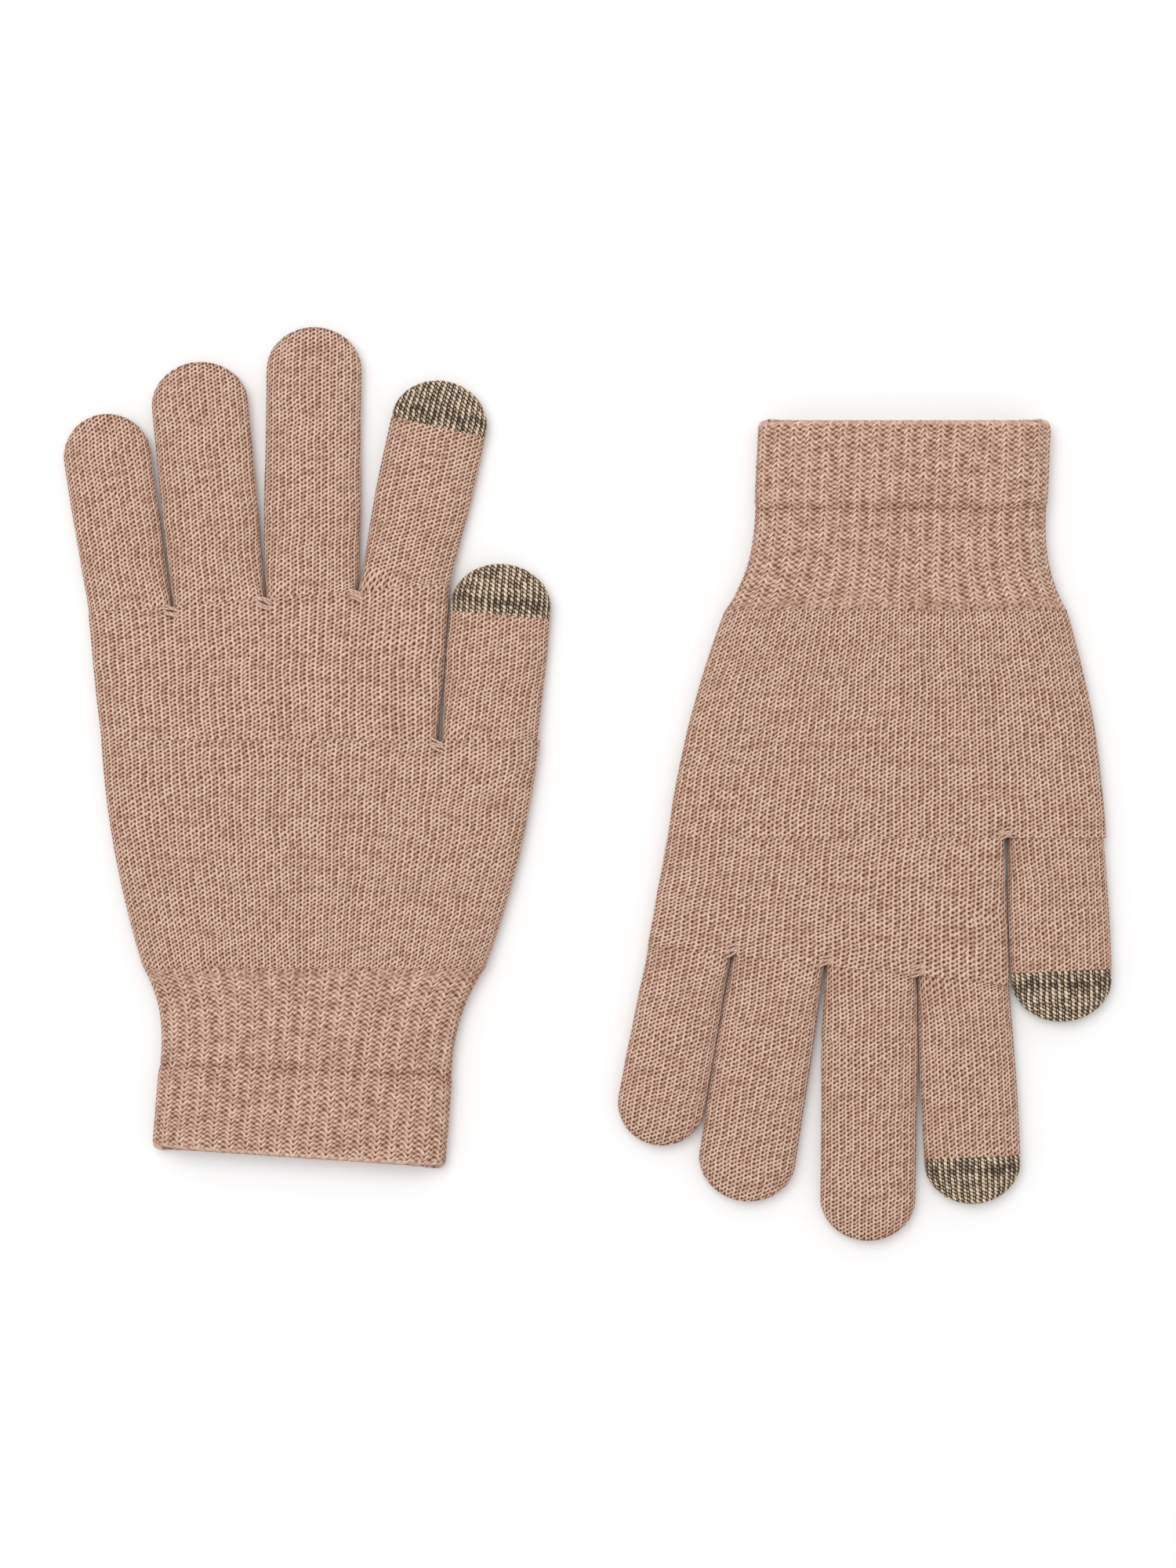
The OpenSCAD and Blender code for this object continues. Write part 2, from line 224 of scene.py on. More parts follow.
class Lay:
    """One glove as it lies, in its own frame: x to the thumb's side, y to the fingers."""

    def __init__(self, name):
        size = sizes()
        self.name = name
        self.flip = GLOVES[name]
        thumb = JOINTS[f"{name}_thumb_knuckle"]["pos_m"]
        widths = dict(zip(FINGERS, size.finger_widths))
        self.widths = widths
        self.palm_w = size.palm_width
        self.at = (thumb[0] - self.palm_w / 2 - size.side_gap - widths["thumb"] / 2, thumb[1])
        axis = JOINTS[f"{name}_index_knuckle"]["axis"]
        self.slope = axis[1] * self.flip / axis[0]
        self.base = {f: self.local(JOINTS[f"{name}_{f}_knuckle"]["pos_m"]) for f in FINGERS}
        self.bend = {f: self.local(JOINTS[f"{name}_{f}_middle"]["pos_m"]) for f in FINGERS}
        self.length = {f: math.dist(self.base[f], self.bend[f]) / size.bend_share
                       for f in FINGERS}
        self.base_w = {f: widths[f] * size.base_share for f in FINGERS}
        left = self.base["little"][0] - self.base_w["little"] / 2
        right = self.base["index"][0] + self.base_w["index"] / 2
        self.knuckle_w = right - left
        self.knuckle_x = (left + right) / 2
        self.palm_top = (self.base["index"][1]
                         + (self.knuckle_x - self.base["index"][0]) * self.slope)
        self.crotches = [self.base[f][0] + self.base_w[f] / 2 for f in FOUR_FINGERS[:-1]]
        self.thumb_line = self.palm_w / 2 + size.side_gap / 2
        heel, rib, hem = (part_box(f"{name}_{node}")
                          for node in ("hand_lower", "cuff_rib", "cuff_hem"))
        self.heel_len = heel[1].y - heel[0].y
        self.hand_w = heel[1].x - heel[0].x
        self.heel_w = rib[1].x - rib[0].x
        self.hand_x = (self.hand_w - self.palm_w) / 2
        self.wrist_x = (rib[0].x + rib[1].x) / 2 - self.at[0]
        self.cuff_len = size.rib_length + size.hem_length
        hem_share = (size.rib_length + size.hem_length / 2) / self.cuff_len
        hem_x = (hem[0].x + hem[1].x) / 2 - self.at[0]
        self.mouth_x = self.wrist_x + (hem_x - self.wrist_x) / hem_share
        self.tilt = math.tan(size.cuff_tilts[0 if self.flip > 0 else 1])

    def local(self, point):
        """A frame point in the glove's own frame."""
        return (point[0] - self.at[0], self.flip * (point[1] - self.at[1]))

    def place(self, points):
        """Points of the glove's own frame where the glove lies."""
        x, y, z = points[..., 0], points[..., 1], points[..., 2]
        return np.stack([self.at[0] + x, self.at[1] + self.flip * y, z], axis=-1)

    def finger_frame(self, finger, points):
        """Points of a finger's own frame in the glove's frame."""
        bx, by = self.base[finger]
        ex, ey = self.bend[finger]
        reach = math.dist((bx, by), (ex, ey))
        dx, dy = (ex - bx) / reach, (ey - by) / reach
        x, y, z = points[..., 0], points[..., 1], points[..., 2]
        return np.stack([bx + x * dy + y * dx, by - x * dx + y * dy, z], axis=-1)

    def lean_fabric(self, finger, *faces):
        """Turns faces made straight up so that they lie along their finger."""
        for face in faces:
            face.points = self.finger_frame(finger, face.points)

    def crotch_y(self, x):
        """Where the line of the four fingers' crotches lies at x."""
        return self.palm_top + (x - self.knuckle_x) * self.slope

    def touch_len(self, finger):
        return dict(zip(TOUCH_FINGERS, sizes().touch_lengths)).get(finger, 0.0)


# ---------------------------------------------------------------- yarn unevenness

HASH_STEPS = (374761393, 668265263, 1274126177, 2246822519)


def scatter(*whole):
    """A repeatable random number from 0 to 1 for each set of whole numbers."""
    mixed = np.full(np.broadcast(*whole).shape, knit().seed * 362437, np.int64)
    for number, step in zip(whole, HASH_STEPS):
        mixed = mixed + (np.asarray(number).astype(np.int64) + 7919) * step & 0xFFFFFFFF
        mixed = (mixed ^ (mixed >> 13)) * 1103515245 & 0xFFFFFFFF
    return (mixed ^ (mixed >> 16)) % 65521 / 65521


def drift(u, v, seed):
    """Smooth unevenness from -1 to 1, one bump for each whole step of u and v."""
    iu, iv = np.floor(u), np.floor(v)
    fu, fv = smooth(u - iu), smooth(v - iv)
    corners = [scatter(iu + a, iv + b, seed) for a in (0, 1) for b in (0, 1)]
    low = lerp(corners[0], corners[1], fv)
    high = lerp(corners[2], corners[3], fv)
    return lerp(low, high, fu) * 2 - 1


def wander(u, v, *waves):
    """Uneven shift of the stitches, from waves of (strength, columns, rows, seed)."""
    return sum(strength * drift(u / columns, v / rows, seed)
               for strength, columns, rows, seed in waves)


# ---------------------------------------------------------------- stitches

CROWN = 0.72          # share of the relief that lies inside the fabric's surface
UPRIGHT = 0.78        # place of a plain stitch's upright leg across its column
THIN_LEG = 0.3        # share of a touch column that is its fine straight leg
RIDGE = 0.55          # share of a rib unit that is its raised rib


def plain_stitches(u, v):
    """Height and yarn tone of stocking stitch: u counts columns and v counts rows.

    The yarn's twist sets one leg of each stitch upright and lays the other one slanting."""
    u = u + wander(u, v, (0.16, 5, 5, 1), (0.07, 1.3, 1.3, 2))
    v = v + wander(u, v, (0.35, 7, 6, 3), (0.14, 1.1, 1.1, 4))
    column = np.floor(u)
    v = v + wander(column, v, (0.14, 1, 8, 21))
    across = u - column
    slanting = across < 0.5
    climb = v - across + 0.06 * np.sin(4 * np.pi * across)
    row = np.floor(np.where(slanting, climb, v - 0.1))
    leg = scatter(column, row, slanting)
    depth = 1 - np.sin(np.pi * (climb - np.floor(climb))) ** 0.7
    open_end = np.abs(np.cos(2 * np.pi * across)) ** 1.5
    slant_leg = 1 - depth * (0.38 + 0.62 * open_end) - 0.12 * open_end
    crest = np.exp(-((across - UPRIGHT) / 0.14) ** 2)
    turn = np.where(across < UPRIGHT, np.cos(2 * np.pi * v), -np.cos(2 * np.pi * v))
    upright_leg = crest * (0.98 + 0.08 * np.cos(2 * np.pi * (v - 0.1)))
    upright_leg = upright_leg + (1 - crest) * (0.45 + 0.43 * turn)
    thick = np.where(slanting, 0.88 + 0.18 * leg, 0.90 + 0.16 * leg)
    height = np.where(slanting, 0.9 * slant_leg, upright_leg) * thick
    # Upright legs take a higher tone than slanting ones: painted highlight on the raised upright
    # legs, on top of each leg's random tone.
    return np.clip(height, 0, 1.1), np.where(slanting, leg, 0.4 + 0.6 * leg)


def touch_stitches(u, v):
    """Height and tone of the coarser knit of conductive yarn, whose legs lean one way."""
    u = u + wander(u, v, (0.14, 4, 4, 6), (0.06, 1, 1, 12))
    v = v + wander(u, v, (0.30, 5, 5, 7))
    column = np.floor(u)
    across = u - column
    thin = across < THIN_LEG
    climb = v + across
    row = np.floor(np.where(thin, v, climb))
    leg = scatter(column, row, thin)
    bold = np.sin(np.pi * (climb - np.floor(climb))) ** 0.6
    bold = bold * np.sin(np.pi * np.clip((across - 0.26) / 0.72, 0, 1)) ** 0.6
    fine = np.sin(np.pi * np.clip(across / THIN_LEG, 0, 1))
    fine = fine * (0.65 + 0.3 * np.sin(2 * np.pi * v))
    height = np.where(thin, 0.85 * fine, bold) * (0.75 + 0.4 * leg)
    return height, np.where(thin, 0.6 + 0.4 * leg, 0.8 * leg)


def rib_stitches(u, v):
    """Height, tone and rib shape of single rib: u counts ribs and v counts rows."""
    u = u + wander(u, v, (0.06, 2, 7, 8), (0.03, 0.7, 1.3, 13))
    v = v + wander(u, v, (0.30, 3, 6, 9), (0.14, 0.6, 1.1, 14))
    rib = np.floor(u)
    place = u - rib
    front = place < RIDGE
    across = np.clip(place / RIDGE, 0, 1) * 2 - 1
    out = np.abs(across)
    climb = v - 0.9 * out
    row = np.floor(climb)
    leg = scatter(rib, row, np.sign(across), 10)
    depth = 1 - np.sin(np.pi * (climb - row)) ** 0.7
    chevron = 1 - depth * (0.5 + 0.5 * np.abs(np.cos(np.pi * out)) ** 1.2)
    chevron = chevron - 0.15 * np.exp(-(out / 0.16) ** 2)
    furrow = np.clip((place - RIDGE) / (1 - RIDGE), 0, 1)
    far_half = furrow > 0.5
    shifted = v - 0.5 * far_half
    beat = np.cos(2 * np.pi * shifted)
    purl = 0.74 + 0.38 * beat * np.abs(np.sin(2 * np.pi * furrow)) ** 0.7
    back_leg = scatter(rib, np.floor(shifted), far_half, 15)
    height = np.where(front, chevron * (0.88 + 0.2 * leg), purl * (0.88 + 0.2 * back_leg))
    round_rib = 0.5 + 0.5 * np.cos(2 * np.pi * (place - RIDGE / 2))
    # Purl stitches in the furrow take a lower tone than the ribs' front stitches: painted shade in
    # the sunken furrow, on top of each leg's random tone.
    tone = np.where(front, 0.25 + 0.75 * leg, 0.1 + 0.7 * back_leg)
    return np.clip(height, 0, 1.1), tone, round_rib


# ---------------------------------------------------------------- lofting a flattened tube

TOP_STEPS = 8         # points across one column of stitches on the palm's side
BACK_STEPS = 5        # and on the back of the hand
ROW_STEPS = 5         # points along one row of stitches
WALL_ROWS = 9         # rings of the plain inside of a tube
WALL_PITCH = 0.0025   # and their distance inside a closed finger
CORNER = 36           # points of the table that measures a rounded edge
MIDLINE = 0.45        # height of a tube's widest line, as a share of its height
WIDEST_EDGE = 0.95    # most of a half width that a rounded edge may take
BARE_HEIGHT = 0.55    # stitch height and tone that stand for the plain inside
BARE_TONE = 0.4


class Rings:
    """Cross-sections of a flattened tube, as one number or one array for each of their sizes."""

    PARTS = ("half_w", "height", "left", "right", "x", "slope", "fill", "inset")

    def __init__(self, y, half_w, height, left, right, x=0.0, slope=0.0, fill=1.0, inset=0.0):
        y = np.atleast_1d(np.asarray(y, float))
        self.y = y
        sizes_of_rings = (half_w, height, left, right, x, slope, fill, inset)
        for part, value in zip(self.PARTS, sizes_of_rings):
            setattr(self, part, np.broadcast_to(np.asarray(value, float), y.shape).copy())

    def surface(self, top, back):
        """Points on the rings at shares top of the palm's side and back of the other side, and
        each point's distance along its side from that side's middle."""
        turn = np.linspace(0, math.pi / 2, CORNER)
        sides, spans, lengths = [], [], []
        half = self.half_w - self.inset
        middle = MIDLINE * self.height
        for shares, rise in ((top, (self.height - self.inset - middle) * self.fill),
                             (back, -(middle - self.inset) * self.fill)):
            points = np.empty((len(self.y), len(shares), 3))
            span = np.empty((len(self.y), len(shares)))
            total = np.empty(len(self.y))
            for i in range(len(self.y)):
                left = min(self.left[i] - self.inset[i], WIDEST_EDGE * half[i])
                right = min(self.right[i] - self.inset[i], WIDEST_EDGE * half[i])
                xs = np.concatenate([-half[i] + left * (1 - np.cos(turn)),
                                     (half[i] - right * (1 - np.cos(turn)))[::-1]])
                zs = rise[i] * np.concatenate([np.sin(turn), np.sin(turn)[::-1]])
                run = np.concatenate([[0], np.cumsum(np.hypot(np.diff(xs), np.diff(zs)))])
                want = shares * run[-1]
                px = np.interp(want, run, xs)
                points[i, :, 0] = self.x[i] + px
                points[i, :, 1] = self.y[i] + px * self.slope[i]
                points[i, :, 2] = middle[i] + np.interp(want, run, zs)
                span[i] = want - run[-1] / 2
                total[i] = run[-1]
            sides.append(points)
            spans.append(span)
            lengths.append(total)
        return sides, spans, lengths


def normals_of(points):
    """Outward directions on a grid of points that closes round its second axis."""
    around = np.roll(points, -1, axis=1) - np.roll(points, 1, axis=1)
    along = np.gradient(points, axis=0)
    normal = np.cross(around, along)
    return normal / np.maximum(np.linalg.norm(normal, axis=-1, keepdims=True), 1e-12)


class Fabric:
    """One face of knitted fabric round a tube: its points, relief and knit coordinates."""

    def __init__(self, rings, v, columns, pattern, twist, bare=False, gauge=None, shape=None):
        """columns is how many columns one side holds, and twist which way the yarn's twist leans.
        bare fabric shows no stitches.  gauge, where given, fixes a column's width on each
        ring, so that the columns stay parallel while the ring narrows."""
        top_count = int(math.ceil(columns * TOP_STEPS))
        back_count = int(math.ceil(columns * BACK_STEPS))
        top = np.linspace(0, 1, top_count + 1)
        back = np.linspace(1, 0, back_count + 1)[1:-1]
        (top_p, back_p), (top_s, back_s), (top_l, back_l) = rings.surface(top, back)
        top_gauge = top_l / columns if gauge is None else gauge
        back_gauge = back_l / columns if gauge is None else gauge
        u = np.concatenate([columns / 2 + top_s / top_gauge[:, None],
                            1.5 * columns + back_s / back_gauge[:, None]], axis=1)
        v = np.broadcast_to(np.asarray(v)[:, None], u.shape)
        points = np.concatenate([top_p, back_p], axis=1)
        if shape is not None:
            points = shape(points)
        self.out = normals_of(points)
        if bare:
            self.height = np.full(u.shape, BARE_HEIGHT)
            self.tone = np.full(u.shape, BARE_TONE)
        else:
            points, self.height, self.tone = pattern(points, self.out, u * twist, v)
        self.points, self.u, self.v = points, u, v


TICK_REACH = 0.005    # length below a fingertip over which its columns draw together
TICK_FADE = 0.002
RUBBED_AT = 0.0036    # middle of a touch tip's darker band, from its first row
RUBBED_HALF = 0.0017


def lifted(points, out, height, extra=0.0):
    """Points raised by their stitches, and by extra where that's given."""
    return points + out * (knit().relief * (height - CROWN) + extra)[..., None]


def raise_plain(points, out, u, v):
    """Plain stitches raised on a surface that swells a little here and there."""
    height, tone = plain_stitches(u, v)
    return lifted(points, out, height, wander(u, v, (0.18 * MM, 9, 14, 11))), height, tone


def gathered_plain(end):
    """A raise function of plain stitches, drawn together over the last rows before end."""
    def raised(points, out, u, v):
        height, tone = plain_stitches(u, v)
        rim = smooth((0.85 - np.abs(out[..., 2])) / 0.35)
        past = rim * smooth((v * knit().course - end + TICK_REACH) / TICK_FADE)
        fold = smooth(4 * np.abs(u - np.floor(u) - 0.5) - 1)
        # Lower stitches between the gathered columns sink the fabric and also take more of the
        # finish's painted pit shade.
        height = height * (1 - 0.85 * past * fold)
        return lifted(points, out, height), height, tone
    return raised


def rubbed_touch(start):
    """A raise function of conductive stitches, darker in a rubbed band past their first row."""
    def raised(points, out, u, v):
        height, tone = touch_stitches(u, v)
        past = (v - start) * knit().touch_course
        band = np.exp(-((past - RUBBED_AT) / RUBBED_HALF) ** 2)
        shown = height * (1 - 0.16 * band)
        return lifted(points, out, height), shown, tone * (1 - 0.45 * band)
    return raised


# ---------------------------------------------------------------- meshes from fabric

GLOVE_SHIFT = 7       # keeps the two gloves' unevenness of colour apart


def grid_faces(row_count, ring, closed):
    """Corner numbers of the quads between neighbouring rings of ring points each."""
    rows = np.arange(row_count if closed else row_count - 1)[:, None]
    cols = np.arange(ring)[None, :]
    here = rows * ring + cols
    beside = rows * ring + (cols + 1) % ring
    above = ((rows + 1) % row_count) * ring + cols
    above_beside = ((rows + 1) % row_count) * ring + (cols + 1) % ring
    return np.stack([here, beside, above_beside, above], axis=-1).reshape(-1, 4)


def fan_faces(start, ring, pole, outward):
    """Triangles that close a ring to a point."""
    cols = np.arange(ring)
    here, beside = start + cols, start + (cols + 1) % ring
    poles = np.full(ring, pole)
    order = (here, beside, poles) if outward else (beside, here, poles)
    return np.stack(order, axis=-1)


def mesh_of(name, points, quads, fans):
    """A mesh of quads and triangles, and the list of all its faces' corners."""
    corners = np.concatenate([quads.ravel(), fans.ravel()])
    totals = np.repeat([4, 3], [len(quads), len(fans)])
    starts = np.cumsum(totals) - totals
    mesh = bpy.data.meshes.new(name)
    mesh.vertices.add(len(points))
    mesh.vertices.foreach_set("co", points.astype(np.float32).ravel())
    mesh.loops.add(len(corners))
    mesh.loops.foreach_set("vertex_index", corners.astype(np.int32))
    mesh.polygons.add(len(totals))
    mesh.polygons.foreach_set("loop_start", starts.astype(np.int32))
    mesh.update(calc_edges=True)
    mesh.polygons.foreach_set("use_smooth", np.ones(len(totals), bool))
    return mesh, corners


def new_piece(mesh, height, tone, where, material):
    """A piece that carries its stitches' height and tone, and where they lie in the knit."""
    for label, values in (("height", height), ("tone", tone)):
        layer = mesh.attributes.new(label, "FLOAT", "POINT")
        layer.data.foreach_set("value", values.astype(np.float32))
    layer = mesh.attributes.new("knit", "FLOAT_VECTOR", "POINT")
    layer.data.foreach_set("vector", where.astype(np.float32).ravel())
    mesh.validate()
    mesh.materials.append(material)
    piece = bpy.data.objects.new(mesh.name, mesh)
    bpy.context.scene.collection.objects.link(piece)
    return piece


def make_piece(name, fabrics, lay, capped, material):
    """One closed mesh from faces of fabric that follow each other along a tube."""
    points = np.concatenate([f.points for f in fabrics])
    rows, ring = points.shape[:2]
    flat = points.reshape(-1, 3)
    height, tone, u, v = (np.concatenate([getattr(f, part) for f in fabrics]).ravel()
                          for part in ("height", "tone", "u", "v"))
    quads = grid_faces(rows, ring, not capped)
    map_u = (np.tile(np.arange(ring), rows) + 0.5) / (ring + 1)
    map_v = (np.repeat(np.arange(rows), ring) + 0.5) / (rows + 1)
    fans = np.empty((0, 3), int)
    if capped:
        first, last = len(flat), len(flat) + 1
        flat = np.concatenate([flat, [points[0].mean(0), points[-1].mean(0)]])
        fans = np.concatenate([fan_faces(0, ring, first, False),
                               fan_faces((rows - 1) * ring, ring, last, True)])
        height, tone = np.append(height, (0.5, 0.5)), np.append(tone, (0.5, 0.5))
        u, v = np.append(u, (u[0], u[-1])), np.append(v, (v[0], v[-1]))
        map_u, map_v = np.append(map_u, (0.5, 0.5)), np.append(map_v, (0.0, 1.0))
    if lay.flip < 0:
        quads, fans = quads[:, ::-1], fans[:, ::-1]
    mesh, corners = mesh_of(name, lay.place(flat), quads, fans)
    picture_map = mesh.uv_layers.new(name="OFBake")
    where = np.stack([map_u, map_v], axis=-1)[corners]
    picture_map.data.foreach_set("uv", where.astype(np.float32).ravel())
    where = np.stack([u, v, np.full(len(u), float(lay.flip) * GLOVE_SHIFT)], axis=-1)
    return new_piece(mesh, height, tone, where, material)


def steps_between(start, end, pitch):
    """Even steps from start to end, as near to pitch as they come."""
    count = max(2, int(round(abs(end - start) / pitch)))
    return np.linspace(start, end, count + 1)


# ---------------------------------------------------------------- fingers

TIP_TURNS = 110       # rings of a finger's round end
LAST_TURN = math.radians(89)
FULL_GROWS = 0.008    # length from the crotch over which a finger's fullness comes in
FULL_ENDS = 0.045     # where it has gone again
FULL_FADES = 0.025    # and the length over which it goes
SLOPE_ENDS = 0.003    # length over which a finger's rings turn square to it
SIDE_EXTRA = 0.003    # how much longer a finger's rounded side is than its flat width


def finger_rings(lay, finger, y, inset=0.0, slope=0.0):
    """Rings of the straight part of a finger, at distances y from its crotch."""
    size = sizes()
    y = np.asarray(y, float)
    (base_x, base_y), (bend_x, bend_y) = lay.base[finger], lay.bend[finger]
    lean = -math.atan((bend_x - base_x) / (bend_y - base_y))
    line = 0.0 if finger == "thumb" else math.atan(lay.slope)
    turned = math.cos(line - lean) / math.cos(line)
    start = (lay.base_w[finger] - size.side_gap / 2) / 2 * turned
    half = lerp(start, lay.widths[finger] / 2, smooth(y / size.widen_length))
    full = dict(zip(FINGERS, size.fullness))[finger]
    half = half + full * smooth(y / FULL_GROWS) * smooth((FULL_ENDS - y) / FULL_FADES)
    crotch, plain, hand = size.edges
    opening = smooth(y / size.edge_settle)
    free = lerp(hand if finger == "thumb" else plain, plain, opening)
    between = lerp(crotch, plain, opening)
    left = free if finger == "little" else between
    right = free if finger in TOUCH_FINGERS else between
    root_height = size.heights[1] if finger == "thumb" else size.heights[0]
    height = lerp(root_height, size.heights[0], smooth(y / size.edge_settle))
    fade = np.clip(1 - y / SLOPE_ENDS, 0, 1)
    return Rings(y, half, height, left, right, slope=math.tan(line - lean) * fade, inset=inset)


def finger_gauge(lay, finger, wale):
    """Columns of stitches on one side of a finger."""
    return round((lay.widths[finger] + SIDE_EXTRA) / wale)


def tip_rings(lay, finger, y_straight, inset, count):
    """Rings of the last length of a finger: straight, then round along a quarter ellipse."""
    size = sizes()
    straight = finger_rings(lay, finger, y_straight, inset)
    length = lay.length[finger]
    round_len = size.tip_round - inset
    turns = LAST_TURN * np.sin(np.linspace(0, math.pi / 2, count))
    narrow = np.cos(turns)
    y = length - size.tip_round + round_len * np.sin(turns)
    end = Rings(y, inset + (lay.widths[finger] / 2 - inset) * narrow, size.heights[0],
                size.edges[1], size.edges[1], fill=np.sqrt(narrow), inset=inset)
    joined = (np.concatenate([getattr(straight, part), getattr(end, part)])
              for part in ("y", *Rings.PARTS))
    return Rings(*joined)


def finger_tube(lay, finger, name, start, end, material):
    """An open length of a finger."""
    wale, course = knit().finger_wale, knit().course
    columns = finger_gauge(lay, finger, wale)
    y = steps_between(start, end, course / ROW_STEPS)
    outside = Fabric(finger_rings(lay, finger, y), y / course, columns, raise_plain, lay.flip)
    back = np.linspace(end, start, WALL_ROWS)
    inside = Fabric(finger_rings(lay, finger, back, sizes().wall), back / course, columns,
                    raise_plain, lay.flip, bare=True)
    lay.lean_fabric(finger, outside, inside)
    return make_piece(name, [outside, inside], lay, False, material)


def finger_cap(lay, finger, name, start, material, touch=False):
    """The closed end of a finger, in plain or in conductive yarn."""
    settings = knit()
    wale = settings.touch_wale if touch else settings.finger_wale
    course = settings.touch_course if touch else settings.course
    columns = finger_gauge(lay, finger, wale)
    straight_end = lay.length[finger] - sizes().tip_round
    y = steps_between(start, straight_end, settings.course / ROW_STEPS)[:-1]
    rings = tip_rings(lay, finger, y, 0.0, TIP_TURNS)
    probe = finger_rings(lay, finger, [straight_end])
    _, _, (top_l, _) = probe.surface(np.array([0.0, 1.0]), np.array([0.0]))
    gauge = np.full(len(rings.y), top_l[0] / columns)
    pattern = rubbed_touch(start / course) if touch else gathered_plain(lay.length[finger])
    outside = Fabric(rings, rings.y / course, columns, pattern, lay.flip, gauge=gauge)
    back = steps_between(start, straight_end, WALL_PITCH)[:-1]
    inner = tip_rings(lay, finger, back, sizes().wall, WALL_ROWS)
    inside = Fabric(inner, inner.y / course, columns, raise_plain, lay.flip, bare=True)
    for part in ("points", "height", "tone", "u", "v"):
        setattr(inside, part, getattr(inside, part)[::-1])
    lay.lean_fabric(finger, outside, inside)
    return make_piece(name, [inside, outside], lay, True, material)


ROOT_SHARE = 0.6      # where a finger's two pieces meet, as a share of its middle bend's place


def build_fingers(lay):
    """All five fingers of a glove."""
    for finger in FINGERS:
        build_finger(lay, finger)


def build_finger(lay, finger):
    """A finger's pieces, in place of its frame parts; a touch finger's cap goes with the finger's end
    body.
    """
    glove, plain = lay.name, finish("plain_knit")
    bend = math.dist(lay.base[finger], lay.bend[finger])
    meet = ROOT_SHARE * bend
    root = finger_tube(lay, finger, f"{glove}_{finger}_root", 0.0, meet, plain)
    touch = lay.touch_len(finger)
    if touch:
        outer = finger_tube(lay, finger, f"{glove}_{finger}_length", meet,
                            lay.length[finger] - touch, plain)
    else:
        outer = finger_cap(lay, finger, f"{glove}_{finger}_length", meet, plain)
    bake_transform(root)
    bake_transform(outer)
    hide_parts(f"{glove}_{finger}_base")
    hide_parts(f"{glove}_{finger}_end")
    if touch:
        tip = finger_cap(lay, finger, f"{glove}_{finger}_touch_cap", lay.length[finger] - touch,
                         finish("touch_knit"), touch=True)
        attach(tip, f"{glove}_{finger}_end")
        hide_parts(f"{glove}_{finger}_touch_tip")


# ---------------------------------------------------------------- hand

PINCH_LENGTH = 0.007  # length of the furrow that runs down from a crotch into the hand


def pinch(beside, down):
    """Share of the hand's height that a crotch leaves, beside it and down below it, and how
    strong the crotch still is there."""
    round_edge = np.clip(1 - np.abs(beside) / sizes().edges[0], 0, 1)
    fade = smooth(1 - down / PINCH_LENGTH) ** 1.5
    return 1 - (1 - np.sqrt(1 - round_edge ** 2)) * fade, fade


def pinched(points, lines, middle, down):
    """Pulls the hand's two sides together under the crotches between its tubes.

    lines holds where each crotch lies on each ring, and down how far below its crotch."""
    shaped = points.copy()
    for line in lines:
        keep, _ = pinch(points[..., 0] - line, down)
        shaped[..., 2] = middle + (shaped[..., 2] - middle) * keep
    return shaped


def hand_fabric(lay, rings, columns, lines, down, bare):
    """A face of the hand's fabric, pinched under its crotches."""
    middle = (MIDLINE * rings.height)[:, None]
    shape = lambda points: pinched(points, lines, middle, down(points))
    return Fabric(rings, rings.y / knit().course, columns, raise_plain, lay.flip, bare=bare,
                  shape=shape)


def palm_rings(lay, share, inset=0.0):
    """Rings of the four-finger tube, at shares of its length."""
    size = sizes()
    width = lerp(lay.palm_w, lay.knuckle_w, share)
    crotch, plain, hand = size.edges
    opening = smooth(share * lay.palm_top / size.edge_settle)
    return Rings(share * lay.palm_top, width / 2,
                 lerp(size.heights[1], size.heights[0], smooth(share)),
                 lerp(hand, plain, share), lerp(crotch, plain, opening),
                 x=share * lay.knuckle_x, slope=share * lay.slope, inset=inset)


def heel_rings(lay, share, inset=0.0):
    """Rings of the five-finger tube, at shares of the way from the thumb's crotch to the rib."""
    size = sizes()
    width = lerp(lay.hand_w, lay.heel_w, 0.4 * share + 0.6 * share ** 2)
    return Rings(-share * lay.heel_len, width / 2,
                 lerp(size.heights[1], size.heights[2], smooth(share * 3 - 2)),
                 size.edges[2], size.edges[2], x=lerp(lay.hand_x, lay.wrist_x, share),
                 inset=inset)


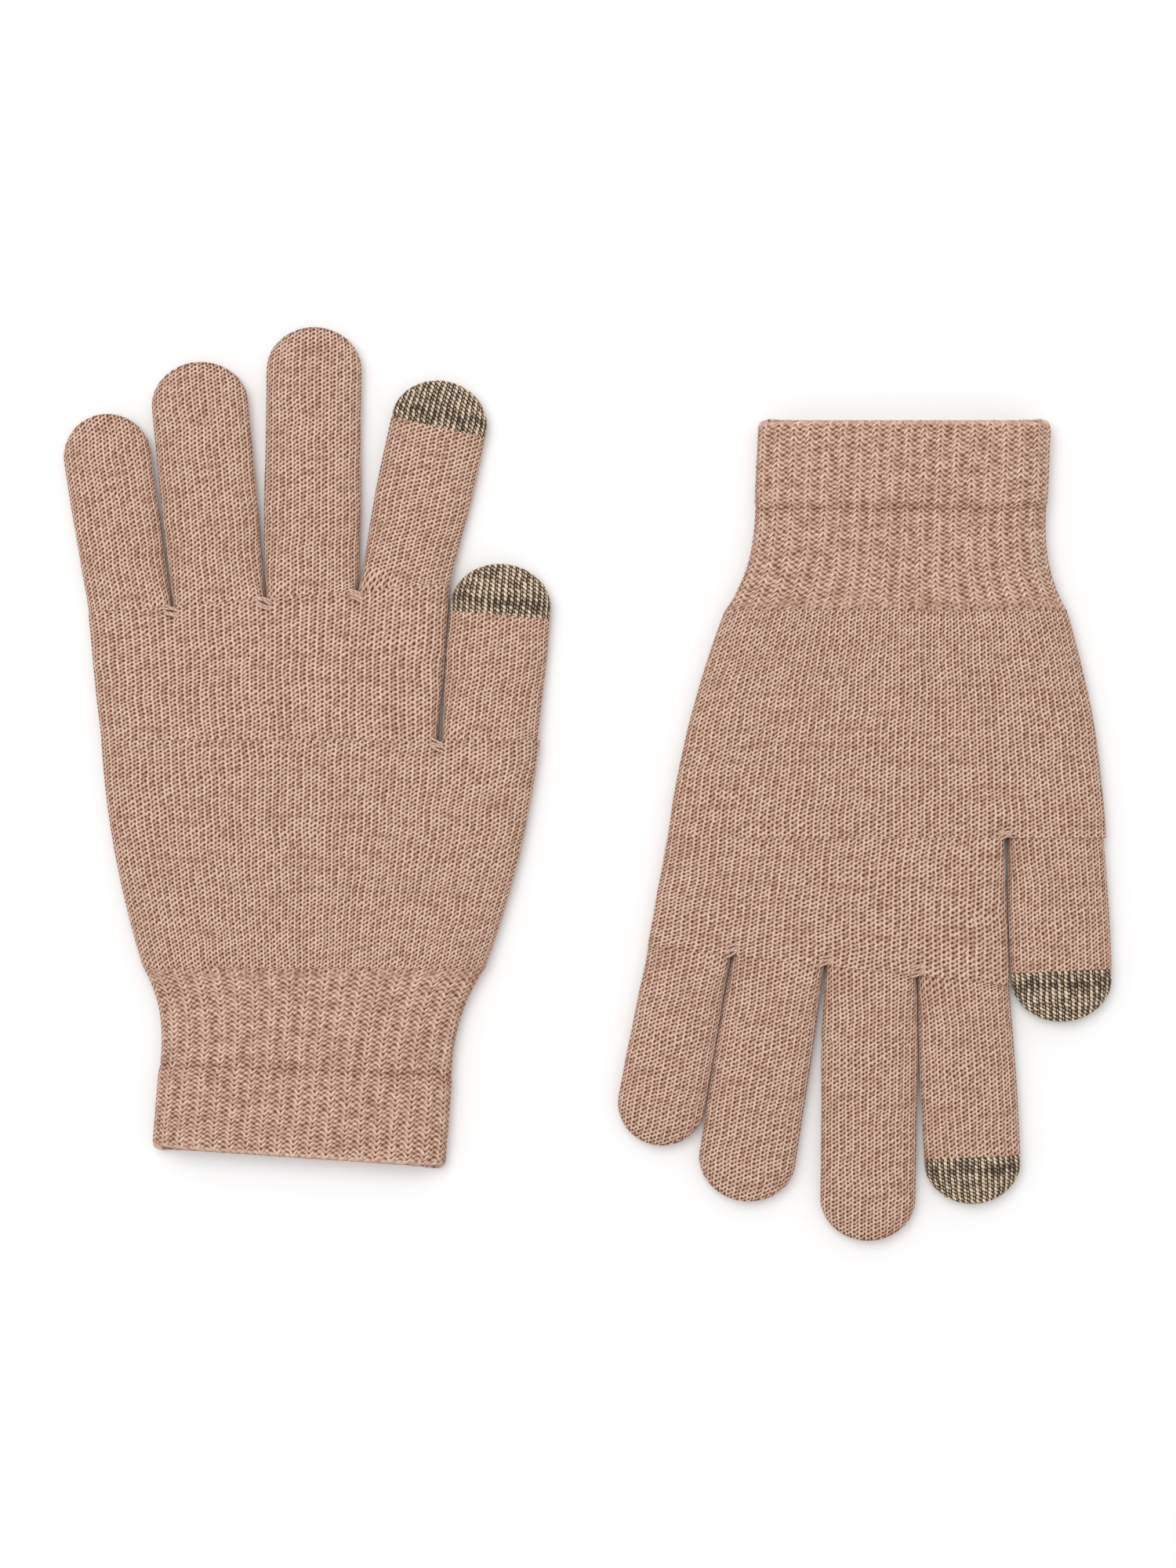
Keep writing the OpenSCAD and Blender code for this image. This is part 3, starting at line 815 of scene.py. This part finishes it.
def build_hand(lay):
    """The palm and back of the hand, above and below the thumb's crotch."""
    glove, size, plain = lay.name, sizes(), finish("plain_knit")
    pitch = knit().course / ROW_STEPS
    palm_columns = lay.palm_w / knit().hand_wale

    def palm_face(share, inset, bare):
        rings = palm_rings(lay, share, inset)
        lines = [(rings.x + (x - lay.knuckle_x) * 2 * rings.half_w / lay.knuckle_w)[:, None]
                 for x in lay.crotches]
        down = lambda points: np.maximum(lay.crotch_y(points[..., 0]) - points[..., 1], 0)
        return hand_fabric(lay, rings, palm_columns, lines, down, bare)

    rows = steps_between(0, lay.palm_top, pitch) / lay.palm_top
    faces = [palm_face(rows, 0.0, False), palm_face(np.linspace(1, 0, WALL_ROWS), size.wall, True)]
    upper = make_piece(f"{glove}_palm", faces, lay, False, plain)
    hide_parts(f"{glove}_hand_upper")

    heel_columns = lay.hand_w / knit().hand_wale

    def heel_face(share, inset, bare):
        rings = heel_rings(lay, share, inset)
        down = lambda points: np.maximum(-points[..., 1], 0)
        return hand_fabric(lay, rings, heel_columns, [lay.thumb_line], down, bare)

    pieces = [upper]
    for part, near, far in (("heel_upper", 1 / 3, 0.0), ("heel_middle", 2 / 3, 1 / 3),
                            ("heel_lower", 1.0, 2 / 3)):
        rows = steps_between(near * lay.heel_len, far * lay.heel_len, pitch) / lay.heel_len
        faces = [heel_face(rows, 0.0, False),
                 heel_face(np.linspace(far, near, WALL_ROWS), size.wall, True)]
        piece = make_piece(f"{glove}_{part}", faces, lay, False, plain)
        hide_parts(f"{glove}_hand_lower")
        pieces.append(piece)
    for piece in pieces:
        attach(piece, f"{glove}_hand")


# ---------------------------------------------------------------- cuff

RIB_GROWS = 0.006     # length over which the ribs grow out of the plain hand
HEM_SWELL = 0.00035   # how much fuller the double hem is than the single rib
HEM_SHADE = 0.0017    # half the height of the band of painted shade where the hem begins
HEM_SINK = 0.00012    # depth of the line where the hem begins
HEM_LINE = 0.0018     # and half its height
HEM_RISE = 0.0025     # length over which the hem reaches its fullness
LIP_SHADE = 0.0003    # height of the lighter edge at the very mouth
LAP_BLEND = 0.002     # height over which the front's mouth passes into the back's
MOUTH_ROUND = 0.0021  # rounding of the mouth's two corners
LIP_ROWS = 9          # rings round the folded edge of the hem


def rib_lift(height, ridge, grow=1.0):
    """How far ribs and their stitches stand out of the fabric."""
    return knit().relief * (height - CROWN) + knit().rib_relief * grow * (ridge - 0.75)


def rib_shade(height, tone, ridge, past, strength=1.0):
    """Height and tone that the finish shows, with painted shade in the furrows and in a band round
    the place where the hem begins, which is past away."""
    band = np.exp(-(past / HEM_SHADE) ** 2) * strength
    return height * (0.86 + 0.12 * ridge) * (1 - 0.06 * band), tone * (1 - 0.45 * band)


def rib_pattern(raised):
    """A rib counts as two columns of stitches, so its pattern runs at half their count."""
    return lambda points, out, u, v: raised(points, out, u / 2, v)


def cuff_rings(lay, down, inset, swell=0.0, trim=0.0):
    """Rings of the cuff, at distances below the start of its rib."""
    size = sizes()
    pull = np.clip(1 - down / size.rib_length, 0, 1) ** 2.5
    width = lerp(size.cuff_width, lay.heel_w, pull)
    share = down / lay.cuff_len
    return Rings(-lay.heel_len - down, width / 2 + swell - trim, size.heights[2] + swell,
                 size.edges[2], size.edges[2], x=lerp(lay.wrist_x, lay.mouth_x, share),
                 slope=lay.tilt * share, inset=inset)


def fading_rib(lay):
    """A raise function whose ribs grow out of the plain hand."""
    def raised(points, out, u, v):
        height, tone, ridge = rib_stitches(u, v)
        grow = smooth((-lay.heel_len - points[..., 1]) / RIB_GROWS + 0.25)
        plain_height, plain_tone = plain_stitches(u * 2.2, v * knit().rib_course / knit().course)
        height, tone = lerp(plain_height, height, grow), lerp(plain_tone, tone, grow)
        lift = rib_lift(height, ridge, grow)
        past = -v * knit().rib_course - sizes().rib_length
        return (points + out * lift[..., None], *rib_shade(height, tone, ridge, past))
    return rib_pattern(raised)


def build_cuff(lay):
    """The single rib and the turned double hem."""
    glove, size, rib_finish = lay.name, sizes(), finish("rib_knit")
    columns = 2 * size.cuff_width / knit().rib_unit
    pitch, course = knit().rib_course / ROW_STEPS, knit().rib_course
    down = steps_between(size.rib_length, 0, pitch)
    rib_outer = Fabric(cuff_rings(lay, down, 0.0), -down / course, columns, fading_rib(lay),
                       lay.flip)
    back = np.linspace(0, size.rib_length, WALL_ROWS)
    rib_inner = Fabric(cuff_rings(lay, back, size.rib_wall), -back / course, columns, None,
                       lay.flip, bare=True)
    rib = make_piece(f"{glove}_rib", [rib_outer, rib_inner], lay, False, rib_finish)
    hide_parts(f"{glove}_cuff_rib")

    near, far = size.rib_length, lay.cuff_len - size.rib_wall / 2
    swell = lambda d: HEM_SWELL * smooth((d - near) / HEM_RISE)
    inner = steps_between(near, far, 2 * pitch)[:-1]
    outer = steps_between(far, near, pitch)[1:]
    turn = np.linspace(math.pi, 0, LIP_ROWS)
    lip = far + size.rib_wall / 2 * np.sin(turn)
    lip_inset = size.rib_wall / 2 * (1 - np.cos(turn))
    path = np.concatenate([inner, lip, outer])
    inset = np.concatenate([np.full(len(inner), size.rib_wall), lip_inset, np.zeros(len(outer))])
    fold = np.concatenate([np.full(len(inner), -1), np.linspace(-1, 1, LIP_ROWS),
                           np.ones(len(outer))])
    travel = -far + (-path + far) * fold
    last = np.clip((path - lip.max() + MOUTH_ROUND) / MOUTH_ROUND, 0, 1)
    rings = cuff_rings(lay, path, inset, swell(path), MOUTH_ROUND * (1 - np.sqrt(1 - last ** 2)))

    def raised(points, out, u, v):
        height, tone, ridge = rib_stitches(u, v)
        sunk = HEM_SINK * np.exp(-((path - near) / HEM_LINE) ** 2)[:, None]
        keep = np.clip(np.abs(fold), 0.35, 1)[:, None]
        lift = keep * rib_lift(height, ridge) - sunk
        edge = smooth((path - far) / LIP_SHADE + 1)[:, None]
        height, tone = rib_shade(height, tone, ridge, (path - near)[:, None], (fold > 0)[:, None])
        height = lerp(height, 0.66 + 0.3 * height, 0.5 * edge)
        return points + out * lift[..., None], height, lerp(tone, 0.8, 0.6 * edge)

    def lapped(points):
        """The back of the cuff reaches a little past its front."""
        shaped = points.copy()
        middle = (MIDLINE * rings.height)[:, None]
        under = smooth((middle - points[..., 2]) / LAP_BLEND + 0.5)
        reach = smooth((path - near) / (far - near))[:, None]
        shaped[..., 1] -= size.under_lap * under * reach
        return shaped

    face = Fabric(rings, travel / course, columns, rib_pattern(raised), lay.flip, shape=lapped)
    hem = make_piece(f"{glove}_hem", [face], lay, False, rib_finish)
    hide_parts(f"{glove}_cuff_hem")
    for piece in (rib, hem):
        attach(piece, f"{glove}_hand")


# ---------------------------------------------------------------- finishes

BUMP = 0.35           # strength and depth of the fibres' relief
BUMP_DEPTH = 0.0002
YARN_ROUGHNESS = 0.92
YARN_SHINE = 0.25
SHEEN_ROUGHNESS = 0.6


def attribute(tree, name, output):
    """One output of what the fabric's points carry under name."""
    node = tree.nodes.new("ShaderNodeAttribute")
    node.attribute_name = name
    return node.outputs[output]


def noise(tree, vector, *scale):
    """A noise texture over the knit's own columns and rows."""
    spread = tree.nodes.new("ShaderNodeVectorMath")
    spread.operation = "MULTIPLY"
    spread.inputs[1].default_value = scale
    tree.links.new(vector, spread.inputs[0])
    node = tree.nodes.new("ShaderNodeTexNoise")
    node.inputs["Scale"].default_value = 1.0
    node.inputs["Detail"].default_value = 2.0
    node.inputs["Roughness"].default_value = 0.6
    tree.links.new(spread.outputs[0], node.inputs["Vector"])
    return node.outputs["Fac"]


def ramp(tree, value, low, high):
    """value from low to high as 0 to 1, softly at both ends."""
    node = tree.nodes.new("ShaderNodeMapRange")
    node.interpolation_type = "SMOOTHSTEP"
    node.inputs["From Min"].default_value = low
    node.inputs["From Max"].default_value = high
    tree.links.new(value, node.inputs["Value"])
    return node.outputs["Result"]


def mix(tree, factor, a, b):
    """Colour a turning to colour b as factor goes from 0 to 1."""
    node = tree.nodes.new("ShaderNodeMix")
    node.data_type = "RGBA"
    for socket, value in ((node.inputs[0], factor), (node.inputs[6], a), (node.inputs[7], b)):
        if isinstance(value, bpy.types.NodeSocket):
            tree.links.new(value, socket)
        else:
            socket.default_value = (*value, 1.0)
    return node.outputs[2]


def new_finish(name):
    """An empty finish with its shader."""
    material = bpy.data.materials.new(name)
    material.use_nodes = True
    return material, material.node_tree, material.node_tree.nodes["Principled BSDF"]


def yarn_finish(name, light, body, dark, pit_shade, streak, tone_range, pit_shade_range, highlight_range, sheen):
    """Heather yarn: fibres of three colours, with painted shade deep between the stitches and a
    painted highlight on their crowns.
    """
    material, tree, shader = new_finish(name)
    knit_at = attribute(tree, "knit", "Vector")
    height = attribute(tree, "height", "Fac")
    tone = attribute(tree, "tone", "Fac")
    streaks = noise(tree, knit_at, 0.2, 0.5, 1.0)
    flecks = noise(tree, knit_at, 2.4, 3.2, 1.0)
    fibres = noise(tree, knit_at, 8.0, 12.0, 1.0)
    colour = mix(tree, ramp(tree, tone, *tone_range), dark, body)
    # Painted highlight: the higher a stitch's crown, the more it turns to body and light fibres; the
    # light fibres themselves are the yarn's own.
    crest = ramp(tree, height, *highlight_range)
    lit = mix(tree, ramp(tree, flecks, 0.0, 0.95), body, light)
    colour = mix(tree, crest, colour, lit)
    colour = mix(tree, ramp(tree, streaks, *streak), colour, dark)
    strand = mix(tree, ramp(tree, fibres, 0.35, 1.2), colour, dark)
    # Painted shade: the lower a point lies between the stitches, the more it takes the pit colour.
    deep = ramp(tree, height, *pit_shade_range)
    tree.links.new(mix(tree, deep, pit_shade, strand), shader.inputs["Base Color"])
    bump = tree.nodes.new("ShaderNodeBump")
    bump.inputs["Strength"].default_value = BUMP
    bump.inputs["Distance"].default_value = BUMP_DEPTH
    tree.links.new(fibres, bump.inputs["Height"])
    tree.links.new(bump.outputs["Normal"], shader.inputs["Normal"])
    shader.inputs["Roughness"].default_value = YARN_ROUGHNESS
    shader.inputs["Specular IOR Level"].default_value = YARN_SHINE
    shader.inputs["Sheen Weight"].default_value = sheen
    shader.inputs["Sheen Roughness"].default_value = SHEEN_ROUGHNESS
    shader.inputs["Sheen Tint"].default_value = (*light, 1.0)
    return material


def finish(slot):
    """The finish of a material slot, made once."""
    name = f"gloves_{slot}"
    made = bpy.data.materials.get(name)
    if made:
        return made
    c = yarns()
    if slot == "touch_knit":
        return yarn_finish(name, c.touch_light, c.touch_body, c.touch_dark_and_pit_shade, c.touch_dark_and_pit_shade,
                           streak=(0.4, 1.3), tone_range=(-0.6, 0.8), pit_shade_range=(0.26, 0.63),
                           highlight_range=(0.5, 0.85), sheen=0.05)
    if slot == "elastic_yarn":
        return yarn_finish(name, c.light, c.elastic, c.body, c.dark,
                           streak=(0.4, 1.3), tone_range=(-0.2, 0.9), pit_shade_range=(-1.0, -0.5),
                           highlight_range=(0.55, 1.0), sheen=0.05)
    return yarn_finish(name, c.light, c.body, c.dark, c.pit_shade,
                       streak=(0.4, 1.1), tone_range=(-0.4, 0.9), pit_shade_range=(0.28, 0.7),
                       highlight_range=(0.6, 0.96), sheen=0.08)


# ---------------------------------------------------------------- elastic and crotch stitches

DARN_ROWS = (0.0004, 0.0011, 0.0018, 0.0026)     # distances of the stitches below their crotch
DARN_REACH = 0.0024   # half the length of one stitch
YARN_RADIUS = 0.00034
YARN_STEPS = 40       # rings along one stitch
YARN_RING = 12        # points round it
YARN_TWIST = 9        # turn of its plies from end to end, in radians
DARN_DIP = 0.0009     # how far a stitch sinks over its crotch and dives in at its ends


def darn_path(lay, line, crotch, height, row, down):
    """The middle line of one stitch across a crotch, in the glove's frame."""
    along = np.linspace(-1, 1, YARN_STEPS)
    arch = 1 - along ** 2
    shift, bow, lean = (scatter(row, int(line * 1e4), part) - 0.5 for part in (31, 32, 33))
    beside = DARN_REACH * along * (0.8 + 0.4 * shift)
    middle = MIDLINE * height
    keep, fade = pinch(beside, down)
    cloth = middle + (height - middle) * keep
    bridge = height - DARN_DIP * arch * fade
    dive = DARN_DIP * np.clip(np.abs(along) - 0.75, 0, 1) / 0.25
    z = np.maximum(cloth, bridge) + 0.1 * MM - dive
    y = crotch - down + DARN_DIP * bow * arch - (0.7 + 0.7 * lean) * MM * along
    return np.stack([line + 0.6 * MM * shift + beside, y + beside * lay.slope, z], axis=1)


def darn_yarn(path, number, row):
    """Points, height, tone and place in the knit of a twisted yarn that follows path."""
    turn = np.linspace(0, 2 * math.pi, YARN_RING, endpoint=False)
    travel = np.gradient(path, axis=0)
    travel /= np.linalg.norm(travel, axis=1, keepdims=True)
    side = np.cross(travel, (0.0, 0.0, 1.0))
    side /= np.linalg.norm(side, axis=1, keepdims=True)
    up = np.cross(side, travel)
    ply = np.cos(2 * (turn + np.linspace(0, YARN_TWIST, YARN_STEPS)[:, None]))
    radius = YARN_RADIUS * (1 + 0.14 * ply)
    ring = np.cos(turn)[:, None] * side[:, None, :] + np.sin(turn)[:, None] * up[:, None, :]
    tube = path[:, None, :] + radius[..., None] * ring
    points = np.concatenate([tube.reshape(-1, 3), path[:1], path[-1:]])
    height = np.append(0.78 + 0.2 * ply.ravel(), (0.3, 0.3))
    tone = np.full(len(points), 0.5 + 0.5 * float(scatter(number, row, 34)))
    around = np.tile(np.linspace(0, 1, YARN_RING), YARN_STEPS)
    along = np.repeat(np.linspace(0, 4, YARN_STEPS), YARN_RING)
    where = np.stack([number * 5 + around, row * 7 + along, np.full(len(around), 3.0)], axis=1)
    return points, height, tone, np.concatenate([where, where[:1], where[-1:]])


def build_darns(lay):
    """The stitches that close the small hole at each crotch."""
    size = sizes()
    places = [(x, lay.crotch_y(x), size.heights[0]) for x in lay.crotches]
    places.append((lay.thumb_line, 0.0, size.heights[1]))
    stitches = [darn_yarn(darn_path(lay, *place, row, down), number, row)
                for number, place in enumerate(places) for row, down in enumerate(DARN_ROWS)]
    points, height, tone, where = (np.concatenate(part) for part in zip(*stitches))
    last = YARN_STEPS * YARN_RING
    starts = (last + 2) * np.arange(len(stitches))[:, None, None]
    quads = (starts + grid_faces(YARN_STEPS, YARN_RING, False)).reshape(-1, 4)
    fans = np.concatenate([fan_faces(0, YARN_RING, last, False),
                           fan_faces(last - YARN_RING, YARN_RING, last + 1, True)])
    fans = (starts + fans).reshape(-1, 3)
    if lay.flip > 0:
        quads, fans = quads[:, ::-1], fans[:, ::-1]
    mesh, _ = mesh_of(f"{lay.name}_darns", lay.place(points), quads, fans)
    piece = new_piece(mesh, height, tone, where, finish("thread"))
    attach(piece, f"{lay.name}_hand")
    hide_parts(f"{lay.name}_crotch_stitches")


def build_elastic(lay):
    """The elastic yarns keep the frame's own shape and take their finish."""
    materials = frame["nodes"][f"{lay.name}_cuff_elastic"].data.materials
    materials.clear()
    materials.append(finish("elastic_yarn"))


# ---------------------------------------------------------------- stage

FLOOR_REACH = 4.0
FLOOR_GAP = 0.0003    # how far the floor lies under the gloves
SOFTBOX_SIZE = 0.9
SOFTBOX_PLACE = (-0.25, 0.35, 1.3)    # from the middle of the pair, and above the floor


def build_stage():
    """Floor, soft light and the camera that looks straight down."""
    stage = bpy.context.scene.glove_stage
    scene = bpy.context.scene
    middle = (CAD_BOX[0] + CAD_BOX[1]) / 2
    mesh = bpy.data.meshes.new("floor")
    corners = [(x * FLOOR_REACH, y * FLOOR_REACH, CAD_BOX[0].z - FLOOR_GAP)
               for x, y in ((-1, -1), (1, -1), (1, 1), (-1, 1))]
    mesh.from_pydata(corners, [], [(0, 1, 2, 3)])
    floor = bpy.data.objects.new("floor", mesh)
    scene.collection.objects.link(floor)
    material, _, shader = new_finish("floor_paint")
    shader.inputs["Base Color"].default_value = (*stage.floor_colour, 1.0)
    shader.inputs["Roughness"].default_value = 0.9
    mesh.materials.append(material)

    world = bpy.data.worlds.new("studio")
    world.use_nodes = True
    back = world.node_tree.nodes["Background"]
    back.inputs["Color"].default_value = (1.0, 1.0, 1.0, 1.0)
    back.inputs["Strength"].default_value = stage.sky
    scene.world = world

    light = bpy.data.lights.new("softbox", "AREA")
    light.shape = "SQUARE"
    light.size = SOFTBOX_SIZE
    light.energy = stage.softbox
    box = bpy.data.objects.new("softbox", light)
    box.location = (middle.x + SOFTBOX_PLACE[0], middle.y + SOFTBOX_PLACE[1], SOFTBOX_PLACE[2])
    aim = middle - box.location
    box.rotation_euler = aim.to_track_quat("-Z", "Y").to_euler()
    scene.collection.objects.link(box)

    lens = bpy.data.cameras.new("camera")
    lens.lens = stage.lens
    lens.clip_start = 0.01
    camera = bpy.data.objects.new("camera", lens)
    camera.location = (middle.x, middle.y,
                       CAD_BOX[1].z + stage.frame_height * stage.lens / lens.sensor_width)
    scene.collection.objects.link(camera)
    scene.camera = camera
    scene.view_settings.view_transform = "Standard"


# ---------------------------------------------------------------- operators

def for_each_glove(build):
    """Builds one group of pieces on both gloves."""
    for name in GLOVES:
        build(Lay(name))
    return {"FINISHED"}


class GLOVES_OT_hands(bpy.types.Operator):
    """Knit the palm and heel of both gloves"""
    bl_idname = "gloves.hands"
    bl_label = "Hands"

    def execute(self, context):
        return for_each_glove(build_hand)


class GLOVES_OT_cuffs(bpy.types.Operator):
    """Knit the rib and the turned hem of both gloves"""
    bl_idname = "gloves.cuffs"
    bl_label = "Cuffs"

    def execute(self, context):
        return for_each_glove(build_cuff)


class GLOVES_OT_elastics(bpy.types.Operator):
    """Finish the elastic yarns inside both cuffs"""
    bl_idname = "gloves.elastics"
    bl_label = "Elastic yarns"

    def execute(self, context):
        return for_each_glove(build_elastic)


class GLOVES_OT_darns(bpy.types.Operator):
    """Sew the stitches that close each crotch of both gloves"""
    bl_idname = "gloves.darns"
    bl_label = "Crotch stitches"

    def execute(self, context):
        return for_each_glove(build_darns)


class GLOVES_OT_fingers(bpy.types.Operator):
    """Knit the fingers of both gloves, with their conductive tips"""
    bl_idname = "gloves.fingers"
    bl_label = "Fingers"

    def execute(self, context):
        return for_each_glove(build_fingers)


class GLOVES_OT_stage(bpy.types.Operator):
    """Lay the floor and set up the light and the camera"""
    bl_idname = "gloves.stage"
    bl_label = "Stage"

    def execute(self, context):
        build_stage()
        return {"FINISHED"}


OPERATORS = (GLOVES_OT_stage, GLOVES_OT_hands, GLOVES_OT_cuffs, GLOVES_OT_elastics,
             GLOVES_OT_fingers, GLOVES_OT_darns)
GROUPS = {"glove_sizes": GloveSizes, "glove_knit": KnitSettings, "glove_yarns": YarnColours,
          "glove_stage": StageSettings}


class GLOVES_PT_panel(bpy.types.Panel):
    """The pieces of the gloves and the stage"""
    bl_idname = "GLOVES_PT_panel"
    bl_label = "Gloves"
    bl_space_type = "VIEW_3D"
    bl_region_type = "UI"
    bl_category = "Gloves"

    def draw(self, context):
        for operator in OPERATORS:
            self.layout.operator(operator.bl_idname)


def register():
    for group in GROUPS.values():
        bpy.utils.register_class(group)
    for name, group in GROUPS.items():
        setattr(bpy.types.Scene, name, bpy.props.PointerProperty(type=group))
    for kind in (*OPERATORS, GLOVES_PT_panel):
        bpy.utils.register_class(kind)


def unregister():
    for kind in (GLOVES_PT_panel, *reversed(OPERATORS)):
        bpy.utils.unregister_class(kind)
    for name in GROUPS:
        delattr(bpy.types.Scene, name)
    for group in reversed(list(GROUPS.values())):
        bpy.utils.unregister_class(group)


def main():
    register()
    for operator in OPERATORS:
        group, name = operator.bl_idname.split(".")
        getattr(getattr(bpy.ops, group), name)()


if __name__ == "__main__":
    main()
